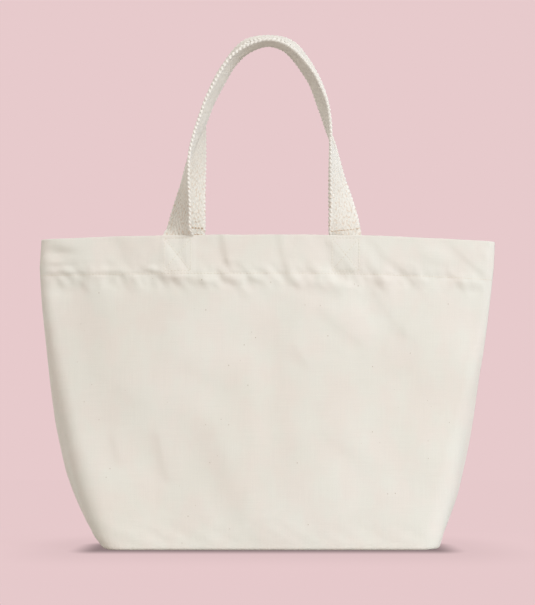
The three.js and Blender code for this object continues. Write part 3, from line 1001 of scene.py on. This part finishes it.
def herringbone(at, across):
    """Height of the slanting ribs, which change direction from one band to the next."""
    zigzag = np.abs((across / RIB_BAND) % 2 - 1) * RIB_BAND
    phase = (RIB_SLANT[0] * at + RIB_SLANT[1] * zigzag) / RIB_PITCH
    grain = (RIB_SLANT[1] * at - RIB_SLANT[0] * zigzag) / GRAIN_PITCH
    rib = np.sin(math.pi * phase) ** 2
    return rib * (0.45 + 0.55 * np.sin(math.pi * grain) ** 2)


def bend_at_edge(obj):
    """Bakes a piece's place into its mesh."""
    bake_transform(obj)


def make_strap(face):
    """A whole strap, both ends sewn in: webbing swept along its course, with ribs and selvedges."""
    centre, width, out, at = strap_frames(face)
    section = strap_section()
    w, t = section[:, 0][None, :], section[:, 1][None, :]
    a = at[:, None]
    half = WEBBING_WIDTH / 2
    edge = ramp(np.abs(w), half - 2.2, half - 0.4)
    ribs = RIB_HEIGHT * (herringbone(a, w + half) - 0.5) * (1 - edge)
    bead_at = a + np.sign(w) * BEAD_STAGGER + 0.9 * t + 0.7 * (np.abs(w) - half)
    bead = np.abs(np.sin(math.pi * bead_at / BEAD_PITCH))
    limp = 0.5 * gradient_noise(a, np.sign(w) * 20 + 0 * a, 38, SEEDS[face] + 31)
    w = w + np.sign(w) * (1.1 * bead + limp) * edge
    t = t * (1 + edge * (0.6 * bead - 0.1)) + np.sign(t) * ribs
    over = (centre[:, 2] - TOP)[:, None]
    cup = 0.7 * (1 - (w / half) ** 2) * ramp(over, 0, 30)
    bow = 0.5 * gradient_noise(a, 0 * a, 60, SEEDS[face] + 32) * ramp(over, 4, 30)
    t = t + cup + bow
    points = centre[:, None] + w[..., None] * width[:, None] + t[..., None] * out[:, None]
    uv = np.stack(np.broadcast_arrays(a - at[-1] / 2, section[:, 0][None, :]), -1)
    caps = (points[0].mean(0) - 0.4 * (centre[1] - centre[0]),
            points[-1].mean(0) + 0.4 * (centre[-1] - centre[-2]))
    first, last = ([lerp(points[end], caps[end], share) for share in (0.06, 0.98)] for end in (0, -1))
    points = np.concatenate([first[::-1], points, last])
    uv = np.concatenate([uv[:1], uv[:1], uv, uv[-1:], uv[-1:]])
    if face == "back":
        points[..., :2] *= -1
    quads = grid_faces(len(points), len(section), wrap=True)
    obj = piece(f"{face}_strap", points, quads, webbing, uv)
    bend_at_edge(obj)
    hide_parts(f"{face}_handle", f"{face}_left_strap_end", f"{face}_right_strap_end")
    return obj


def make_strap_rows(face, on_left, heights, name):
    """Rows of tan stitches across a strap at heights over the top edge, on both of its faces."""
    centre, width, out, _ = strap_frames(face)
    top = centre[:, 2].argmax()
    part = slice(0, top) if on_left else slice(top, None)
    from_middle = ((np.arange(ROW_STITCHES) - ROW_STITCHES // 2) * STITCH_PITCH)[:, None]
    parts = []
    for height in heights:
        index = np.abs(centre[part, 2] - (TOP + height)).argmin()
        middle, across, face_out = (values[part][index] for values in (centre, width, out))
        for normal in (face_out, -face_out):
            base = middle + normal * (WEBBING_THICKNESS / 2 + 0.12)
            start = base + across * (from_middle - STITCH / 2)
            end = base + across * (from_middle + STITCH / 2)
            parts.append(stitches(start, end, np.repeat(normal[None], ROW_STITCHES, axis=0)))
    points, quads = join_parts(parts)
    if face == "back":
        points[:, :2] *= -1
    obj = piece(name, points, quads, tan_thread)
    bend_at_edge(obj)
    return obj


# ---- seams inside the bag

RAW_EDGE_COLUMNS = 6
OVERLOCK_PITCH = 2.6
OVERLOCK_HALF_WIDTH = 1.3
OVERLOCK_HALF_HEIGHT = CLOTH + 0.35
OVERLOCK_RADIUS = 0.26


def two_plies(name, rows, node):
    """Two plies of cloth, sewn and raw edge side by side, given by their middle rows of points."""
    points = settled(rows)
    uv = np.stack(np.meshgrid(np.arange(points.shape[1]) * 2.0, np.arange(points.shape[0]) * 2.5), -1)
    normal = unit(np.cross(points[:, -1] - points[:, 0], np.gradient(points[:, 0], axis=0)))
    apart = normal[:, None] * (CLOTH / 2 + 0.03)
    plies = np.vstack([(points + apart).reshape(-1, 3), (points - apart).reshape(-1, 3)])
    quads = grid_faces(points.shape[0], points.shape[1])
    quads = np.vstack([quads, quads + points.shape[0] * points.shape[1]])
    obj = piece(name, plies, quads, canvas, np.vstack([uv.reshape(-1, 2)] * 2))
    solidify(obj, CLOTH - 0.06)
    return on_bag(obj, "canvas", node)


def overlock(name, edge, across, normal, node):
    """Thread wrapped round a raw edge, turn by turn."""
    line, at = evenly(settled(edge), 0.28)
    turn = 2 * math.pi * at / OVERLOCK_PITCH
    wide = (OVERLOCK_HALF_WIDTH * (np.sin(turn) - 0.6))[:, None]
    high = (OVERLOCK_HALF_HEIGHT * np.cos(turn))[:, None]
    path = line + np.array(across) * wide + np.array(normal) * high
    return thread_on_bag(name, [tube(path, OVERLOCK_RADIUS)], node)


def make_seam(name, rows, across, normal):
    """A seam's two plies and the overlocked thread on their raw edge."""
    rows = np.array(rows)
    two_plies(f"{name}_seam_plies", rows, f"{name}_seam")
    overlock(f"{name}_seam_overlock", rows[:, -1], across, normal, f"{name}_overlock")


def make_side_seam(side):
    z = np.linspace(4.5, HEM_LINE - 1.5, 110)
    wave = 0.25 * gradient_noise(z, 0 * z, 22, 71 if side == "left" else 83)
    insets = np.linspace(6.5, 17, RAW_EDGE_COLUMNS)
    rows = []
    for height, sway in zip(z, wave):
        at = float(seam_x(height))
        rows.append([(SIGN[side] * (at - inset), sway * (inset - 6) / 10, height) for inset in insets])
    make_seam(f"{side}_side", rows, (-SIGN[side], 0.0, 0.0), (0.0, 1.0, 0.0))


def seam_on_base(ends, sewn, raw, count, wave, cell, seed):
    """Rows of a seam that lies on the base: from end to end, and from its sewn to its raw edge."""
    rows = []
    for run in np.linspace(*ends, count):
        lift = wave * float(gradient_noise(run, 0.0, cell, seed)) + 0.2
        rows.append([(run, lerp(sewn, raw, t), SEAM_DEPTH + lift * t)
                     for t in np.linspace(0, 1, RAW_EDGE_COLUMNS)])
    return np.array(rows)


def make_corner_seam(side):
    low, high = (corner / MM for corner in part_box(f"{side}_corner_seam"))
    sewn, raw = (low.x, high.x) if side == "left" else (high.x, low.x)
    rows = seam_on_base((low.y, high.y), sewn, raw, 42, 0.2, 18, 91 if side == "left" else 97)
    make_seam(f"{side}_corner", rows[..., [1, 0, 2]], (-SIGN[side], 0.0, 0.0), (0.0, 0.0, 1.0))


def make_base_seam():
    low, high = (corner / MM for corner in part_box("base_seam"))
    rows = seam_on_base((low.x, high.x), low.y, high.y, 120, 0.25, 26, 101)
    make_seam("base", rows, (0.0, 1.0, 0.0), (0.0, 0.0, 1.0))


# ---- stage

# Linear colours: the ground as it is seen, under white light, and as it lights the bag
PINK = (0.799, 0.591, 0.604, 1.0)
PINK_MATT = (0.93, 0.69, 0.705, 1.0)
PALE_GROUND = (0.62, 0.58, 0.555, 1.0)
SKY = (1.03, 0.985, 0.925, 1.0)
SKY_STRENGTH = 0.62
SHADOW_NARROWING = 3.6               # of the shadow past the ends of the base
FLOOR_REACH = 6000.0


def shown_and_shining(g, kind, shown, shining):
    """Output of one shader that is seen and another that lights the bag."""
    seen = g.node("ShaderNodeLightPath", {}).outputs["Is Camera Ray"]
    chosen = g.node("ShaderNodeMixShader", {0: seen, 1: shining.outputs[0], 2: shown.outputs[0]})
    g.node(kind, {0: chosen.outputs[0]})


def make_world():
    world = bpy.data.worlds.new("studio")
    bpy.context.scene.world = world
    g = Graph(world)
    backdrop = g.node("ShaderNodeBackground", {0: PINK})
    sky = g.node("ShaderNodeBackground", {0: SKY, 1: SKY_STRENGTH})
    shown_and_shining(g, "ShaderNodeOutputWorld", backdrop, sky)


def floor_shadow(g, place):
    """Painted contact shadow round the base: about 1 in the open, less near the bag."""
    x, y = g.parts(place)[:2]
    past_x = g.math("MAXIMUM", g.less(g.size(x), BASE_HALF_WIDTH * MM), 0.0)
    past_x = g.times(past_x, SHADOW_NARROWING)
    past_y = g.math("MAXIMUM", g.less(g.size(y), BASE_HALF_DEPTH * MM), 0.0)
    distance = g.math("SQRT", g.add(g.times(past_x, past_x), g.times(past_y, past_y)))
    contact = g.ramp(distance, 0.0, 0.12, 0.38, 0.97)
    halo = g.ramp(distance, 0.05, 0.42, 0.93, 1.02)
    return g.times(contact, halo)


def floor_material():
    material = bpy.data.materials.new("floor")
    g = Graph(material)
    place = g.place()
    # Painted contact shadow: the floor's colour darkens near the bag, both in what is seen and in its matt
    # share.
    dark = floor_shadow(g, place)
    glow = g.node("ShaderNodeEmission", {0: g.tint(PINK, dark)})
    matt = g.node("ShaderNodeBsdfDiffuse", {0: g.tint(PINK_MATT, dark)})
    far = g.node("ShaderNodeVectorMath", {0: place}, operation="LENGTH").outputs["Value"]
    share = g.times(g.ramp(far, 0.25, 0.75, 1.0, 0.0), 0.06)
    shown = g.node("ShaderNodeMixShader", {0: share, 1: glow.outputs[0], 2: matt.outputs[0]})
    bounce = g.node("ShaderNodeBsdfDiffuse", {0: PALE_GROUND})
    shown_and_shining(g, "ShaderNodeOutputMaterial", shown, bounce)
    return material


def make_floor():
    r = FLOOR_REACH
    floor = piece("floor", [(-r, -r, 0), (r, -r, 0), (r, r, 0), (-r, r, 0)], [(0, 1, 2, 3)],
                  floor_material())


# Metres
CAMERA_AT = Vector((0.0005, -2.7, 0.10))
CAMERA_AIM = Vector((0.0005, 0, 0.252))

# Name, strength, degrees across, colour, and the direction that it shines from
LIGHTS = (
    ("key", 1.81, 36, (0.965, 0.995, 1.03), (0.56, -0.71, 0.44)),
    ("side", 0.17, 60, (0.08, 0.85, 1.75), (0.96, -0.25, 0.12)),
    ("fill", 0.90, 32, (1.00, 0.98, 0.95), (-0.52, 0.73, 0.44)),
)


def make_lights():
    for name, strength, degrees, colour, direction in LIGHTS:
        sun = bpy.data.lights.new(name, "SUN")
        sun.energy = strength
        sun.angle = math.radians(degrees)
        sun.color = colour
        turn = Vector(direction).to_track_quat("Z", "Y").to_euler()
        add_object(name, sun).rotation_euler = turn


def make_camera():
    data = bpy.data.cameras.new("camera")
    data.lens = 156.0
    data.clip_end = 50
    camera = add_object("camera", data)
    camera.location = CAMERA_AT
    camera.rotation_euler = (CAMERA_AIM - CAMERA_AT).to_track_quat("-Z", "Y").to_euler()
    bpy.context.scene.camera = camera


# ---- everything

make_camera()
make_world()
make_lights()
make_floor()

for face in FACES:
    panel = make_panel(face)
    sewn_on = [make_hem_stitches(face)]
    for side in SIDES:
        sewn_on.append(make_box_stitches(face, side))
    make_strap(face)
make_strap_rows("front", False, (5.0,), "front_right_strap_stitches")
make_strap_rows("back", False, (4.0, 5.1, 11.0, 12.1), "back_left_strap_stitches")
make_strap_rows("back", True, (4.0, 5.1, 11.0, 12.1), "back_right_strap_stitches")
for side in SIDES:
    make_side_seam(side)
    make_corner_seam(side)
make_base_seam()

bpy.context.scene.view_settings.view_transform = "Standard"
